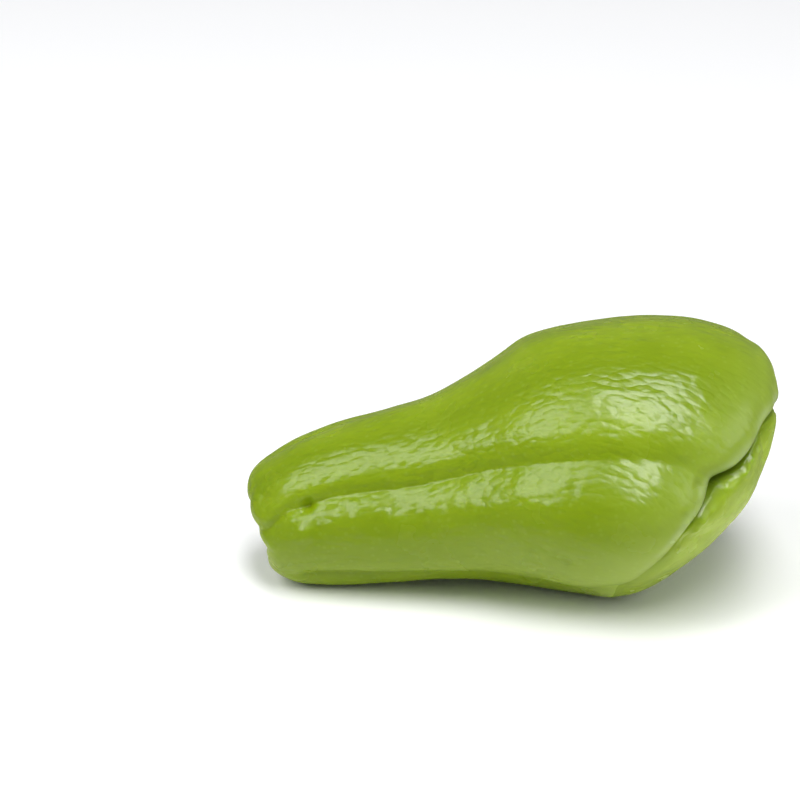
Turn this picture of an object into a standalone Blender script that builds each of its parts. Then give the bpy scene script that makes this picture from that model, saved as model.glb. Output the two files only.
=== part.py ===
"""A whole chayote squash, lying on its side.

The fruit is one grown piece: a narrow stem end at -X, a broad blossom end at +X, lobes
parted by furrows along its length, and the puckered mouth across its blossom end, with the
chin below it. Lengths are in millimetres up to the finished mesh, which is in metres.
The origin is the middle of the fruit's bounding box, at the height of the surface it rests on.
"""

import math

import bmesh
import bpy
import numpy as np
from mathutils import Vector, noise

MM = 0.001

# The plain body, before any furrow: place along the fruit, underside, top and half width.
SECTIONS = (
    (-74.5, 22.5, 22.5, 0.0),
    (-72.1, 12.2, 31.0, 9.6),
    (-68.0, 4.5, 35.0, 15.2),
    (-62.0, 0.4, 39.2, 18.9),
    (-52.0, -0.7, 43.8, 21.6),
    (-34.0, 0.4, 49.2, 24.4),
    (-20.0, 1.8, 54.4, 27.6),
    (-8.0, 2.0, 61.6, 32.0),
    (4.0, 0.8, 69.4, 37.6),
    (18.0, -0.8, 73.6, 41.8),
    (34.0, 0.2, 75.0, 43.0),
    (46.0, 8.4, 74.8, 40.6),
    (56.0, 19.0, 73.0, 35.4),
    (64.0, 29.0, 70.4, 27.6),
    (69.0, 38.2, 66.4, 18.2),
    (71.8, 52.5, 52.5, 0.0),
)

# The line that the rings of the skin are strung on, from the stem to the tip of the chin:
# share of the way, place x, y, z, and how far the ring's plane is pitched up and yawed, in degrees.
STEM_PITCH = 20.0
MOUTH_PITCH = -36.0
MOUTH_YAW = -14.0
MOUTH_SHARE = 0.80
SPINE = (
    (0.16, -56.0, 0.0, 20.5, 17.0, 0.0),
    (0.34, -28.0, 0.0, 26.0, 11.0, 0.0),
    (0.52, 4.0, 0.0, 33.5, 0.0, 0.0),
    (0.67, 30.0, -0.5, 34.0, -19.0, -6.0),
    (MOUTH_SHARE, 48.2, -2.1, 27.9, MOUTH_PITCH, MOUTH_YAW),
)

# The skin's grid. Rings stand closer together towards the mouth, by this factor and reach.
RINGS = 64
SPOKES = 72
MOUTH_CROWDING = 3.0
MOUTH_CROWD_REACH = 4.0

# Furrows between the lobes. Angles run round the spine in degrees, from 0 at the top to 90 at
# the front. Along its line each furrow has share, angle, depth and the height of the crest beside
# it, then come its reach towards lower and towards higher angles, and the crest's side: 1 towards
# higher angles, -1 towards lower ones.
# The reaches hold where the fruit's mean radius is near FULL_RADIUS, and shrink with the radius.
# The crest's place and its spreads, towards the furrow and away from it, are in shares of the
# reach on its side. Past the mouth the furrow and the crest fade over CHIN_FADE, and at once
# where the mouth is deep.
FULL_RADIUS = 40.0
FURROW_LEAST = 0.05
CREST_PLACE = 1.9
CREST_SPREAD = 1.1
CREST_FADE = 1.7
CHIN_FADE = 0.045
FURROWS = (
    (
        ((0.02, 76, 0.0, 0.0), (0.06, 72, 2.0, 0.3), (0.11, 64, 1.8, 0.5), (0.17, 61, 2.5, 0.8),
         (0.24, 59, 2.4, 1.0), (0.34, 61, 2.5, 1.3), (0.44, 62, 2.6, 1.7), (0.54, 63, 2.5, 2.2),
         (0.63, 62, 2.4, 3.0), (0.72, 58, 2.2, 3.5), (0.80, 55, 3.0, 2.3)),
        4.2, 7.6, 1,
    ),
    (
        ((0.08, -66, 0.0, 0.0), (0.16, -68, 2.4, 0.5), (0.36, -72, 2.8, 0.6), (0.54, -74, 4.2, 0.8),
         (0.70, -68, 3.0, 0.6), (0.80, -64, 3.6, 0.7)),
        4.8, 10.0, -1,
    ),
    (
        ((0.06, 128, 0.0, 0.0), (0.14, 134, 2.2, 0.3), (0.36, 138, 2.6, 0.4), (0.54, 142, 3.4, 0.5),
         (0.70, 136, 2.2, 0.3), (0.80, 120, 1.5, 0.2)),
        7.5, 5.5, 1,
    ),
    (
        ((0.06, -130, 0.0, 0.0), (0.16, -136, 2.0, 0.3), (0.38, -140, 2.4, 0.4),
         (0.56, -143, 3.0, 0.5), (0.80, -128, 1.6, 0.3)),
        6.0, 7.0, -1,
    ),
    (
        ((0.07, -8, 0.0, 0.0), (0.15, -14, 1.2, 0.3), (0.34, -20, 0.7, 0.2), (0.52, -24, 1.4, 0.3),
         (0.68, -26, 1.5, 0.3), (0.80, -20, 2.4, 0.4)),
        8.0, 9.0, -1,
    ),
)

# The mouth: how deep its crease is at each angle, the reach of the lip on its body side and
# on its chin side, how the chin side slopes into it, how far the crease runs in under the body
# for each mm of its depth, how far the lips are drawn over the crease, the tight slit at its
# bottom, the swell and the pleats of its lips, how far its line strays along the skin, and how
# far each furrow draws it back for each mm of the furrow's depth, over how many degrees.
MOUTH_DEPTH = (
    (-180, 0.0), (-104, 0.0), (-86, 0.9), (-66, 2.3), (-40, 3.4), (-12, 2.4), (14, 1.3),
    (34, 1.4), (46, 2.5), (55, 3.4), (64, 1.7), (78, 0.8), (90, 0.4), (102, 0.15), (114, 0.0),
    (180, 0.0),
)
BODY_LIP = 6.0
CHIN_LIP = 6.0
CHIN_SLOPE = 1.6
UNDERCUT = 0.6
LIP_CLOSING = 2.6
LIP_SWELL = 0.7
SWELL_REACH = 4.5
SLIT_DEPTH = 1.9
SLIT_REACH = 1.0
PLEAT_HEIGHT = 0.4
PLEAT_REACH = 6.0
STRAY = 0.8
STRAY_REACH = 9.0
NOTCH_SHARE = 0.8
NOTCH_SPREAD = 7.0

# Creases that run out over the chin from the mouth: angle, length in mm, depth and reach. They
# fade out where the spokes are shorter than CHIN_CLEAR.
CHIN_CREASES = (
    (26, 24.0, 2.4, 4.6), (82, 15.0, 1.6, 3.6), (-8, 36.0, 5.6, 6.0), (-42, 24.0, 3.4, 4.6),
    (-88, 16.0, 2.0, 4.0), (128, 18.0, 1.8, 6.0), (-134, 18.0, 1.8, 6.0),
)
CHIN_CLEAR = 14.0

# The hollow at the stem, the corky scar on its floor, and the folds round it by angle and depth.
HOLLOW_DEPTH = 4.2
HOLLOW_REACH = 6.0
SCAR_RADIUS = 2.8
FOLDS = (
    (97, 3.4), (122, 2.2), (66, 1.5), (24, 1.4), (-34, 2.0), (-84, 1.8), (-132, 2.0), (172, 1.2),
)
FOLD_REACH = 1.9

LUMP_SIZE = 24.0
LUMP_HEIGHT = 0.8


def smooth(places, values, at):
    """A curve through the values at rising places, with no overshoot of its slopes."""
    places = np.asarray(places, float)
    values = np.asarray(values, float)
    step = np.diff(places)
    rise = np.diff(values) / step
    slope = np.empty_like(values)
    slope[0] = rise[0]
    slope[-1] = rise[-1]
    slope[1:-1] = (rise[:-1] * step[1:] + rise[1:] * step[:-1]) / (step[1:] + step[:-1])
    at = np.clip(at, places[0], places[-1])
    i = np.clip(np.searchsorted(places, at, side="right") - 1, 0, len(step) - 1)
    u = (at - places[i]) / step[i]
    return (
        (1 + 2 * u) * (1 - u) ** 2 * values[i]
        + u * (1 - u) ** 2 * step[i] * slope[i]
        + u * u * (3 - 2 * u) * values[i + 1]
        - u * u * (1 - u) * step[i] * slope[i + 1]
    )


def plain_body(points):
    """Below zero inside the plain body, above it outside."""
    x, y, z = np.moveaxis(points, -1, 0)
    place, under, top, half_width = np.array(SECTIONS).T
    middle = smooth(place, (under + top) / 2, x)
    height = np.maximum(smooth(place, ((top - under) / 2) ** 2, x), 1e-6)
    width = np.maximum(smooth(place, half_width**2, x), 1e-6)
    inside = (z - middle) ** 2 / height + y**2 / width - 1
    return np.where((x < place[0]) | (x > place[-1]), 1.0, inside)


def facing(pitch, yaw):
    """The unit direction at this pitch above +X and this yaw from it towards -Y, in degrees."""
    pitch, yaw = np.radians(pitch), np.radians(yaw)
    return np.stack([np.cos(pitch) * np.cos(yaw), np.cos(pitch) * np.sin(yaw), np.sin(pitch)], -1)


def furthest(direction):
    """The point of the plain body that reaches furthest in a direction."""
    place, under, top, half_width = np.array(SECTIONS).T
    x = np.linspace(place[0], place[-1], 4001)
    middle = smooth(place, (under + top) / 2, x)
    height = np.sqrt(np.maximum(smooth(place, ((top - under) / 2) ** 2, x), 0))
    width = np.sqrt(np.maximum(smooth(place, half_width**2, x), 0))
    reach = np.hypot(height * direction[2], width * direction[1])
    best = np.argmax(x * direction[0] + middle * direction[2] + reach)
    y = width[best] ** 2 * direction[1] / reach[best]
    z = middle[best] + height[best] ** 2 * direction[2] / reach[best]
    return np.array([x[best], y, z])


def spine(share):
    """Origin, forward, up and front of the ring at each share of the way."""
    stem = furthest(-facing(STEM_PITCH, 0.0))
    chin = furthest(facing(MOUTH_PITCH, MOUTH_YAW))
    table = np.array(
        [(0.0, *stem, STEM_PITCH, 0.0), *SPINE, (1.0, *chin, MOUTH_PITCH, MOUTH_YAW)]
    )
    columns = [smooth(table[:, 0], table[:, k], share) for k in range(1, 6)]
    origin = np.stack(columns[:3], -1)
    forward = facing(columns[3], columns[4])
    front = np.cross(np.array([0.0, 0.0, 1.0]), -forward)
    front /= np.linalg.norm(front, axis=-1, keepdims=True)
    up = np.cross(-forward, front)
    return origin, forward, up, front


def spokes_to_skin(share, angle):
    """Where the spokes at these angles meet the plain body, and their directions."""
    origin, forward, up, front = (v[:, None, :] for v in spine(share))
    way = np.cos(angle)[None, :, None] * up + np.sin(angle)[None, :, None] * front
    near = np.zeros(way.shape[:2])
    far = np.full(way.shape[:2], 70.0)
    for _ in range(34):
        half = (near + far) / 2
        outside = plain_body(origin + half[..., None] * way) > 0
        far = np.where(outside, half, far)
        near = np.where(outside, near, half)
    return origin + far[..., None] * way, way, far


def ring_shares(count):
    """Shares of the way for rings spread evenly over the skin, and closer in the mouth."""
    trial = 0.5 - 0.5 * np.cos(np.linspace(0.004, math.pi - 0.004, 600))
    angle = np.linspace(0, 2 * math.pi, 24, endpoint=False)
    skin, _, _ = spokes_to_skin(trial, angle)
    steps = np.linalg.norm(np.diff(skin, axis=0), axis=-1).mean(1)
    reach = np.concatenate([[0.0], np.cumsum(steps)])
    mouth = np.interp(MOUTH_SHARE, trial, reach)
    along = np.linspace(0, reach[-1], 4001)
    crowd = 1 + MOUTH_CROWDING * np.exp(-(np.abs(along - mouth) / MOUTH_CROWD_REACH))
    place = np.concatenate([[0.0], np.cumsum((crowd[1:] + crowd[:-1]) / 2)])
    place /= place[-1]
    even = np.linspace(0, 1, count + 2)[1:-1]
    shares = np.interp(np.interp(even, place, along), reach, trial)
    shares[np.argmin(np.abs(shares - MOUTH_SHARE))] = MOUTH_SHARE
    return shares


def skin_grid(rings, spokes):
    """The plain skin as rows of points, with a pole at each end, and what the relief needs."""
    share = ring_shares(rings)
    angle = np.linspace(0, 2 * math.pi, spokes, endpoint=False)
    skin, way, radius = spokes_to_skin(share, angle)
    under_lip = UNDERCUT * facing(MOUTH_PITCH, MOUTH_YAW)
    stem = furthest(-facing(STEM_PITCH, 0.0))
    chin = furthest(facing(MOUTH_PITCH, MOUTH_YAW))
    skin = np.concatenate([np.tile(stem, (1, spokes, 1)), skin, np.tile(chin, (1, spokes, 1))])
    along = np.gradient(skin, axis=0)
    around = np.roll(skin, -1, axis=1) - np.roll(skin, 1, axis=1)
    outward = np.cross(along, around)
    outward[0] = -facing(STEM_PITCH, 0.0)
    outward[-1] = facing(MOUTH_PITCH, MOUTH_YAW)
    outward /= np.linalg.norm(outward, axis=-1, keepdims=True)
    outward[1:-1] *= np.sign((outward[1:-1] * way).sum(-1).mean())
    way = np.concatenate([way[:1], way, way[-1:]]) + under_lip
    radius = np.pad(radius, ((1, 1), (0, 0)))
    share = np.concatenate([[0.0], share, [1.0]])
    steps = np.linalg.norm(np.diff(skin, axis=0), axis=-1)
    from_stem = np.concatenate([np.zeros((1, spokes)), np.cumsum(steps, axis=0)])
    along[[0, -1]] = 0.0
    along[1:-1] /= np.linalg.norm(along[1:-1], axis=-1, keepdims=True)
    return share, np.degrees(angle), skin, outward, way, along, radius, from_stem


def turned(angle, line):
    """How far round an angle lies from a line, in radians, the short way."""
    return np.radians((angle - line + 180) % 360 - 180)


def mouth_strength(angle):
    """How deep the mouth's crease is at each angle, as a share of its deepest."""
    degrees, depths = np.array(MOUTH_DEPTH, float).T
    wrapped = (angle + 180) % 360 - 180
    return np.maximum(smooth(degrees, depths, wrapped), 0.0)[None, :] / depths.max()


def furrow_relief(share, angle, radius):
    """Depth of the furrows and height of their crests over the grid, outward positive."""
    out = np.zeros_like(radius)
    past_mouth = np.clip(share - MOUTH_SHARE, 0, None)[:, None]
    fading = np.exp(-((past_mouth / CHIN_FADE) ** 2))
    kept = np.where(past_mouth > 0, fading * (1 - mouth_strength(angle)), 1.0)
    for line, low_reach, high_reach, crest_side in FURROWS:
        places, angles, depths, heights = np.array(line, float).T
        at = smooth(places, angles, share)[:, None]
        here = kept * np.where(share < places[0], 0.0, 1.0)[:, None]
        depth = here * smooth(places, depths, share)[:, None]
        height = here * smooth(places, heights, share)[:, None]
        across = turned(angle[None, :], at) * radius
        wide = np.mean(radius, axis=1, keepdims=True) / FULL_RADIUS + FURROW_LEAST
        reach = np.where(across < 0, low_reach, high_reach)
        power = np.where(across * crest_side > 0, 1.15, 1.5)
        out -= depth * np.exp(-((np.abs(across) / (reach * wide)) ** power))
        past = across / (crest_side * (high_reach if crest_side > 0 else low_reach) * wide) - CREST_PLACE
        out += height * np.exp(-((past / np.where(past < 0, CREST_SPREAD, CREST_FADE)) ** 2))
    return out


def mouth_relief(angle, to_mouth):
    """How far the mouth moves each point in, along the skin towards the chin, and out."""
    strength = mouth_strength(angle)
    depth = strength * max(deep for _, deep in MOUTH_DEPTH)
    near = np.clip(1 - np.abs(to_mouth) / np.where(to_mouth < 0, BODY_LIP, CHIN_LIP), 0, 1)
    crease = depth * np.where(to_mouth < 0, 1 - np.sqrt(1 - near**2), near**CHIN_SLOPE)
    closing = LIP_CLOSING * strength**0.7 * near**2 * (3 - 2 * near)
    slit = SLIT_DEPTH * strength**1.3 * np.clip(1 - np.abs(to_mouth) / SLIT_REACH, 0, 1)
    swell = LIP_SWELL * strength * np.exp(-(((np.abs(to_mouth) - SWELL_REACH) / SWELL_REACH) ** 2))
    turn = np.radians(angle)[None, :] + np.where(to_mouth < 0, 0.0, 0.4)
    pleat = np.sin(23 * turn + 1.3 * np.sin(5 * turn)) * (0.6 + 0.4 * np.sin(3 * turn + 1.0))
    swell += PLEAT_HEIGHT * strength**0.5 * pleat * np.exp(-((np.abs(to_mouth) / PLEAT_REACH) ** 2))
    return crease + slit, closing, swell


def mouth_stray(angle, to_mouth):
    """How far the skin by the mouth is drawn along itself, back where a furrow runs into it."""
    turn = np.radians(angle)[None, :]
    wave = np.sin(3 * turn + 0.6) + 0.6 * np.sin(7 * turn + 2.0) + 0.3 * np.sin(13 * turn)
    drawn = STRAY * wave
    for line, *_ in FURROWS:
        _, end, depth, _ = line[-1]
        off = np.degrees(turned(angle, end))[None, :]
        drawn = drawn - NOTCH_SHARE * depth * np.exp(-((off / NOTCH_SPREAD) ** 2))
    return drawn * np.exp(-((to_mouth / STRAY_REACH) ** 2))


def end_relief(angle, radius, from_stem, to_mouth):
    """The stem's hollow and folds, and the creases over the chin, outward positive."""
    hollow = np.exp(-((np.maximum(from_stem - SCAR_RADIUS, 0) / HOLLOW_REACH) ** 2))
    out = -HOLLOW_DEPTH * hollow
    for line, depth in FOLDS:
        across = turned(angle[None, :], line) * np.maximum(from_stem, 0.1)
        window = np.exp(-(((from_stem - 8.5) / 4.5) ** 2))
        out -= depth * window * np.exp(-(np.abs(across) / FOLD_REACH) ** 1.5)
    clear_of_pole = np.clip(radius / CHIN_CLEAR, 0, 1) ** 2
    for line, length, depth, reach in CHIN_CREASES:
        across = turned(angle[None, :], line) * radius
        window = np.clip(to_mouth / 3.0, 0, 1) * np.clip(1 - to_mouth / length, 0, 1) * clear_of_pole
        out -= depth * window * np.exp(-(np.abs(across) / reach) ** 1.5)
    return out


def lumps(points):
    """The slow unevenness of a grown skin, fading out towards the underside it rests on."""
    height = np.empty(points.shape[:2])
    for place in np.ndindex(height.shape):
        height[place] = noise.noise(Vector(points[place] / LUMP_SIZE))
    return LUMP_HEIGHT * height * np.clip(points[..., 2] / 14.0, 0, 1)


def fruit_skin(rings, spokes):
    """Every point of the finished skin, as rows from the stem's pole to the chin's pole."""
    share, angle, skin, outward, way, along, radius, from_stem = skin_grid(rings, spokes)
    mouth_row = np.argmin(np.abs(share - MOUTH_SHARE))
    to_mouth = from_stem - from_stem[mouth_row]
    crease, closing, swell = mouth_relief(angle, to_mouth)
    out = furrow_relief(share, angle, radius) + swell
    out += end_relief(angle, radius, from_stem, to_mouth) + lumps(skin)
    skin = skin + out[..., None] * outward - crease[..., None] * way
    skin += (closing + mouth_stray(angle, to_mouth))[..., None] * along
    skin[..., 2] = np.maximum(skin[..., 2], 0.0)
    return skin


def skin_mesh(name, skin):
    """A closed mesh of the skin's rows, with a fan of triangles round each pole, in metres."""
    rows, spokes = skin.shape[0] - 2, skin.shape[1]
    places = np.concatenate([skin[:1, 0], skin[1:-1].reshape(-1, 3), skin[-1:, 0]])
    low, high = places.min(0), places.max(0)
    places = (places - [(low[0] + high[0]) / 2, (low[1] + high[1]) / 2, low[2]]) * MM
    faces = []
    for k in range(spokes):
        after = (k + 1) % spokes
        faces.append((0, 1 + after, 1 + k))
        for row in range(rows - 1):
            here = 1 + row * spokes
            faces.append((here + k, here + after, here + spokes + after, here + spokes + k))
        last = 1 + (rows - 1) * spokes
        faces.append((last + k, last + after, last + spokes))
    mesh = bpy.data.meshes.new(name)
    mesh.from_pydata([tuple(p) for p in places], [], faces)
    work = bmesh.new()
    work.from_mesh(mesh)
    bmesh.ops.recalc_face_normals(work, faces=work.faces)
    bmesh.ops.triangulate(work, faces=work.faces)
    work.to_mesh(mesh)
    work.free()
    mesh.shade_smooth()
    return mesh


def main():
    for old in list(bpy.data.objects):
        bpy.data.objects.remove(old)
    material = bpy.data.materials.new("chayote_skin")
    material.use_nodes = True
    look = material.node_tree.nodes["Principled BSDF"]
    look.inputs["Base Color"].default_value = (0.29, 0.42, 0.03, 1.0)
    look.inputs["Roughness"].default_value = 0.35
    look.inputs["Metallic"].default_value = 0.0
    mesh = skin_mesh("chayote_fruit", fruit_skin(RINGS, SPOKES))
    mesh.materials.append(material)
    fruit = bpy.data.objects.new("chayote_fruit", mesh)
    bpy.context.collection.objects.link(fruit)


main()
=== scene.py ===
# %% [markdown]
# # A chayote squash, skin and all
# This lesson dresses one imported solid, a chayote lying on its side. The solid already has the
# right size and the main forms. Here the same skin is grown again with many more points, so that
# the mouth can close tightly and the skin can carry wrinkles, pits and small warts as real
# geometry. After that come the waxy green finish, the floor, the light and the camera.

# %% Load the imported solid
import math

import bpy
import numpy as np
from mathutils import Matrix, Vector, noise


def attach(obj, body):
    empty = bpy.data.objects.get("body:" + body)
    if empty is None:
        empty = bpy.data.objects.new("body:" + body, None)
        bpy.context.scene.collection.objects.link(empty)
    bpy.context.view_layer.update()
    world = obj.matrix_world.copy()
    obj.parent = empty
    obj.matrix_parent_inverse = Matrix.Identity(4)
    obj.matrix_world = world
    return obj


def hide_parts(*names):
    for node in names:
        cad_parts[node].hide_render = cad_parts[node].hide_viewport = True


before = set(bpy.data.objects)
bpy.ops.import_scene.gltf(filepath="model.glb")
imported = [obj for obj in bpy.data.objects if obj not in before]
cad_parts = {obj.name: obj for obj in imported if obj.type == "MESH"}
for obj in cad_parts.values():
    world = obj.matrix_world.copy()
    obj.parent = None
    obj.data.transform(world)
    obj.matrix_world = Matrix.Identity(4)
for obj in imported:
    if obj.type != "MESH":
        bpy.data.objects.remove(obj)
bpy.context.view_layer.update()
MM = 0.001

# %% [markdown]
# ## The plain body
# Under its lobes a chayote is a smooth pear. It could be sculpted, or lofted from circles, but a
# list of stations is the easiest to correct: at each place along the fruit it says where the
# underside and the top are and how wide the body is. Between stations a smooth curve fills in.
# The squares of the sizes are what is interpolated, because that rounds both ends by itself.

# %% The stations along the body, in millimetres
# Each has its place along the fruit, then its underside, its top and half its width.
SECTIONS = (
    (-74.5, 22.5, 22.5, 0.0),
    (-72.1, 12.2, 31.0, 9.6),
    (-68.0, 4.5, 35.0, 15.2),
    (-62.0, 0.4, 39.2, 18.9),
    (-52.0, -0.7, 43.8, 21.6),
    (-34.0, 0.4, 49.2, 24.4),
    (-20.0, 1.8, 54.4, 27.6),
    (-8.0, 2.0, 61.6, 32.0),
    (4.0, 0.8, 69.4, 37.6),
    (18.0, -0.8, 73.6, 41.8),
    (34.0, 0.2, 75.0, 43.0),
    (46.0, 8.4, 74.8, 40.6),
    (56.0, 19.0, 73.0, 35.4),
    (64.0, 29.0, 70.4, 27.6),
    (69.0, 38.2, 66.4, 18.2),
    (71.8, 52.5, 52.5, 0.0),
)
print(len(SECTIONS), "stations from x =", SECTIONS[0][0], "to", SECTIONS[-1][0])


# %% A smooth curve through a list of values
def smooth(places, values, at):
    """A curve through the values at rising places, with no overshoot of its slopes."""
    places = np.asarray(places, float)
    values = np.asarray(values, float)
    step = np.diff(places)
    rise = np.diff(values) / step
    slope = np.empty_like(values)
    slope[0] = rise[0]
    slope[-1] = rise[-1]
    slope[1:-1] = (rise[:-1] * step[1:] + rise[1:] * step[:-1]) / (step[1:] + step[:-1])
    at = np.clip(at, places[0], places[-1])
    i = np.clip(np.searchsorted(places, at, side="right") - 1, 0, len(step) - 1)
    u = (at - places[i]) / step[i]
    return (
        (1 + 2 * u) * (1 - u) ** 2 * values[i]
        + u * (1 - u) ** 2 * step[i] * slope[i]
        + u * u * (3 - 2 * u) * values[i + 1]
        - u * u * (1 - u) * step[i] * slope[i + 1]
    )


stations = np.array(SECTIONS).T
print("the body's top at x = 0 mm:", round(float(smooth(stations[0], stations[2], 0.0)), 1))


# %% Inside or outside the plain body
def plain_body(points):
    """Below zero inside the plain body, above it outside."""
    x, y, z = np.moveaxis(points, -1, 0)
    place, under, top, half_width = stations
    middle = smooth(place, (under + top) / 2, x)
    height = np.maximum(smooth(place, ((top - under) / 2) ** 2, x), 1e-6)
    width = np.maximum(smooth(place, half_width**2, x), 1e-6)
    inside = (z - middle) ** 2 / height + y**2 / width - 1
    return np.where((x < place[0]) | (x > place[-1]), 1.0, inside)


def furthest(direction):
    """The point of the plain body that reaches furthest in a direction."""
    place, under, top, half_width = stations
    x = np.linspace(place[0], place[-1], 4001)
    middle = smooth(place, (under + top) / 2, x)
    height = np.sqrt(np.maximum(smooth(place, ((top - under) / 2) ** 2, x), 0))
    width = np.sqrt(np.maximum(smooth(place, half_width**2, x), 0))
    reach = np.hypot(height * direction[2], width * direction[1])
    best = np.argmax(x * direction[0] + middle * direction[2] + reach)
    y = width[best] ** 2 * direction[1] / reach[best]
    z = middle[best] + height[best] ** 2 * direction[2] / reach[best]
    return np.array([x[best], y, z])


print("the belly's middle is inside:", bool(plain_body(np.array([20.0, 0.0, 36.0])) < 0))

# %% [markdown]
# ## The grid of rings and spokes
# The skin is a grid: rings strung on a bent line from the stem to the chin, and spokes that run
# from that line out to the skin. The line bends so that one ring lies exactly along the mouth.
# That makes the mouth easy to press in, and lets the rings crowd there, where the detail is. A
# voxel remesh would be simpler to make but would round the mouth away.

# %% The line that the rings are strung on
# Each row of SPINE has a share of the way, then the point of the line in mm, and the pitch and yaw
# in degrees that the ring there faces.
STEM_PITCH = 20.0
MOUTH_PITCH = -36.0
MOUTH_YAW = -14.0
MOUTH_SHARE = 0.80
SPINE = (
    (0.16, -56.0, 0.0, 20.5, 17.0, 0.0),
    (0.34, -28.0, 0.0, 26.0, 11.0, 0.0),
    (0.52, 4.0, 0.0, 33.5, 0.0, 0.0),
    (0.67, 30.0, -0.5, 34.0, -19.0, -6.0),
    (MOUTH_SHARE, 48.2, -2.1, 27.9, MOUTH_PITCH, MOUTH_YAW),
)


def facing(pitch, yaw):
    """The unit direction at this pitch above +X and this yaw from it towards -Y, in degrees."""
    pitch, yaw = np.radians(pitch), np.radians(yaw)
    return np.stack([np.cos(pitch) * np.cos(yaw), np.cos(pitch) * np.sin(yaw), np.sin(pitch)], -1)


stem_pole = furthest(-facing(STEM_PITCH, 0.0))
chin_pole = furthest(facing(MOUTH_PITCH, MOUTH_YAW))
print("from the stem at", np.round(stem_pole, 1), "to the chin at", np.round(chin_pole, 1))


# %% Rings, and spokes out to the skin
# A spoke is halved again and again between its line and LONGEST_SPOKE, until it ends on the skin.
LONGEST_SPOKE = 70.0
HALVINGS = 34


def spine(share):
    """Origin, forward, up and front of the ring at each share of the way."""
    table = np.array(
        [(0.0, *stem_pole, STEM_PITCH, 0.0), *SPINE, (1.0, *chin_pole, MOUTH_PITCH, MOUTH_YAW)]
    )
    columns = [smooth(table[:, 0], table[:, k], share) for k in range(1, 6)]
    origin = np.stack(columns[:3], -1)
    forward = facing(columns[3], columns[4])
    front = np.cross(np.array([0.0, 0.0, 1.0]), -forward)
    front /= np.linalg.norm(front, axis=-1, keepdims=True)
    up = np.cross(-forward, front)
    return origin, forward, up, front


def spokes_to_skin(share, angle):
    """Where the spokes at these angles meet the plain body, their directions and lengths."""
    origin, forward, up, front = (v[:, None, :] for v in spine(share))
    way = np.cos(angle)[None, :, None] * up + np.sin(angle)[None, :, None] * front
    near = np.zeros(way.shape[:2])
    far = np.full(way.shape[:2], LONGEST_SPOKE)
    for _ in range(HALVINGS):
        half = (near + far) / 2
        outside = plain_body(origin + half[..., None] * way) > 0
        far = np.where(outside, half, far)
        near = np.where(outside, near, half)
    return origin + far[..., None] * way, way, far


belly_ring = spokes_to_skin(np.array([0.6]), np.linspace(0, 2 * math.pi, 90, endpoint=False))[0]
girth = np.linalg.norm(np.diff(belly_ring[0], axis=0, append=belly_ring[0][:1]), axis=-1).sum()
print("round the belly in mm:", round(float(girth)))

# %% Spread the rings evenly, and closer at the mouth
MOUTH_CROWDING = 3.0
MOUTH_CROWD_REACH = 4.0
TRIAL_RINGS = 600
TRIAL_SPOKES = 24
TRIAL_MARGIN = 0.004


def ring_shares(count):
    """Shares of the way for rings spread evenly over the skin, and closer in the mouth."""
    trial = 0.5 - 0.5 * np.cos(np.linspace(TRIAL_MARGIN, math.pi - TRIAL_MARGIN, TRIAL_RINGS))
    angle = np.linspace(0, 2 * math.pi, TRIAL_SPOKES, endpoint=False)
    skin, _, _ = spokes_to_skin(trial, angle)
    steps = np.linalg.norm(np.diff(skin, axis=0), axis=-1).mean(1)
    reach = np.concatenate([[0.0], np.cumsum(steps)])
    mouth = np.interp(MOUTH_SHARE, trial, reach)
    along = np.linspace(0, reach[-1], 4001)
    crowd = 1 + MOUTH_CROWDING * np.exp(-(np.abs(along - mouth) / MOUTH_CROWD_REACH))
    place = np.concatenate([[0.0], np.cumsum((crowd[1:] + crowd[:-1]) / 2)])
    place /= place[-1]
    even = np.linspace(0, 1, count + 2)[1:-1]
    shares = np.interp(np.interp(even, place, along), reach, trial)
    shares[np.argmin(np.abs(shares - MOUTH_SHARE))] = MOUTH_SHARE
    return shares


print("a few of 64 rings:", np.round(ring_shares(64)[::9], 3))

# %% The grid, with what the relief needs to know at each point
UNDERCUT = 0.6


class Grid:
    """The plain skin as rows of points, with a pole at each end."""

    def __init__(self, rings, spokes):
        share = ring_shares(rings)
        angle = np.linspace(0, 2 * math.pi, spokes, endpoint=False)
        skin, way, radius = spokes_to_skin(share, angle)
        poles = [np.tile(pole, (1, spokes, 1)) for pole in (stem_pole, chin_pole)]
        skin = np.concatenate([poles[0], skin, poles[1]])
        along = np.gradient(skin, axis=0)
        around = np.roll(skin, -1, axis=1) - np.roll(skin, 1, axis=1)
        outward = np.cross(along, around)
        outward[0] = -facing(STEM_PITCH, 0.0)
        outward[-1] = facing(MOUTH_PITCH, MOUTH_YAW)
        outward /= np.linalg.norm(outward, axis=-1, keepdims=True)
        outward[1:-1] *= np.sign((outward[1:-1] * way).sum(-1).mean())
        along[[0, -1]] = 0.0
        along[1:-1] /= np.linalg.norm(along[1:-1], axis=-1, keepdims=True)
        steps = np.linalg.norm(np.diff(skin, axis=0), axis=-1)
        self.skin, self.outward, self.along = skin, outward, along
        self.out_of_mouth = (
            np.concatenate([way[:1], way, way[-1:]]) + UNDERCUT * facing(MOUTH_PITCH, MOUTH_YAW)
        )
        self.share = np.concatenate([[0.0], share, [1.0]])
        self.angle = np.degrees(angle)
        self.radius = np.pad(radius, ((1, 1), (0, 0)))
        self.from_stem = np.concatenate([np.zeros((1, spokes)), np.cumsum(steps, axis=0)])
        mouth_row = np.argmin(np.abs(self.share - MOUTH_SHARE))
        self.to_mouth = self.from_stem - self.from_stem[mouth_row]


coarse = Grid(64, 72)
print("from the stem over the top to the chin in mm:", round(float(coarse.from_stem[-1, 0])))

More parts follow.
